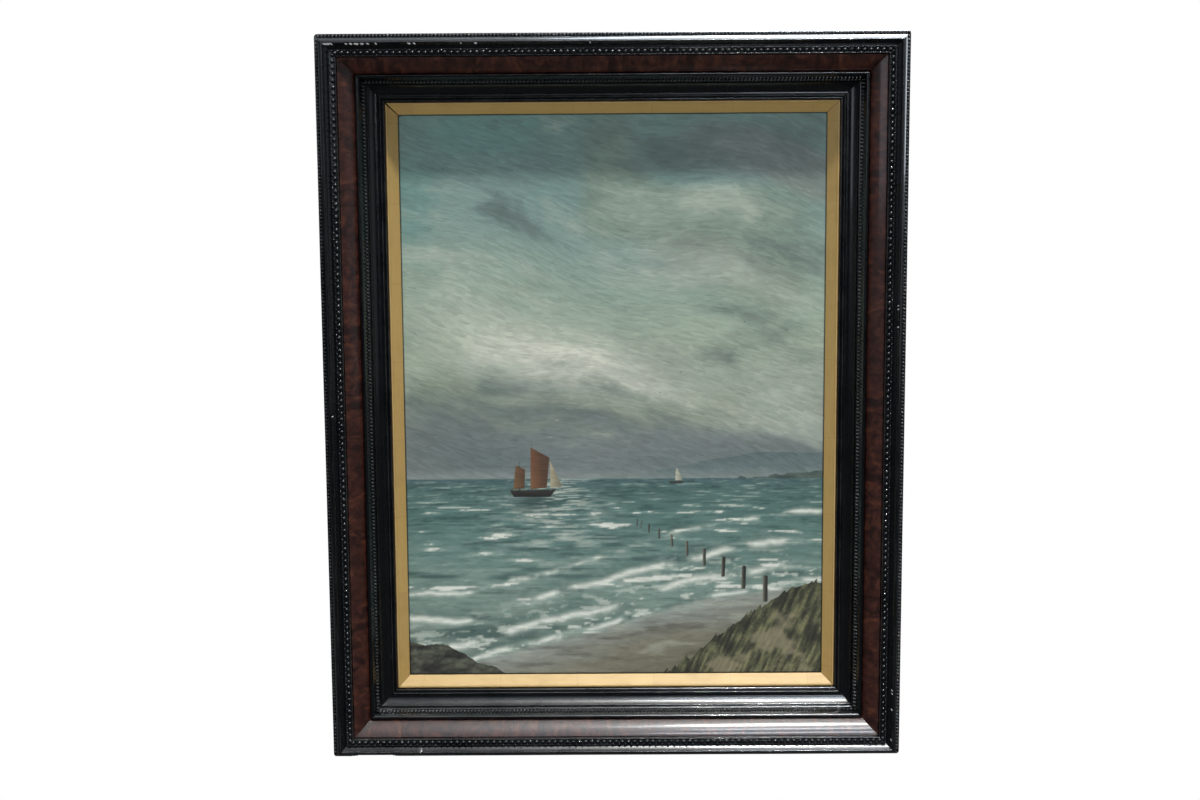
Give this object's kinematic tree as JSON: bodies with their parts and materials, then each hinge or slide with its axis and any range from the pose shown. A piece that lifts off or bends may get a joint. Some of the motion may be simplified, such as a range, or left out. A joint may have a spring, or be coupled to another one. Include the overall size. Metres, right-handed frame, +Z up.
{
  "type": "framed oil painting",
  "caption": "Upright seascape in oils on stretched canvas, with a gilt slip and a deep ebonised frame of carved beading round a burr-veneered band, made to hang on a wall.",
  "frame": {"origin": "the hanging point: on the back face of the top rail, halfway along it and halfway across the veneered band", "axes": "+Z up the picture, +Y into the wall behind the frame, +X to the right as one faces the picture"},
  "size_m": [0.6042, 0.078, 0.7566],
  "materials": {
    "ebonised_wood": "ebonised and polished to a semi-gloss",
    "burr_veneer": "burr veneer under a glossy polish",
    "gilt_wood": "satin gilding on a smooth ground",
    "bare_pine": "planed and bare, darkened with age",
    "oil_painted_canvas": "oil paint on canvas under a soft varnish"
  },
  "bodies": {
    "root": {"outer_moulding_top": "ebonised_wood", "outer_moulding_right": "ebonised_wood", "outer_moulding_bottom": "ebonised_wood", "outer_moulding_left": "ebonised_wood", "veneered_band_top": "burr_veneer", "veneered_band_right": "burr_veneer", "veneered_band_bottom": "burr_veneer", "veneered_band_left": "burr_veneer", "inner_moulding_top": "ebonised_wood", "inner_moulding_right": "ebonised_wood", "inner_moulding_bottom": "ebonised_wood", "inner_moulding_left": "ebonised_wood", "gilt_slip_top": "gilt_wood", "gilt_slip_right": "gilt_wood", "gilt_slip_bottom": "gilt_wood", "gilt_slip_left": "gilt_wood", "stretcher_bar_top": "bare_pine", "stretcher_bar_right": "bare_pine", "stretcher_bar_bottom": "bare_pine", "stretcher_bar_left": "bare_pine", "painted_canvas": "oil_painted_canvas"}
  },
  "joints": []
}
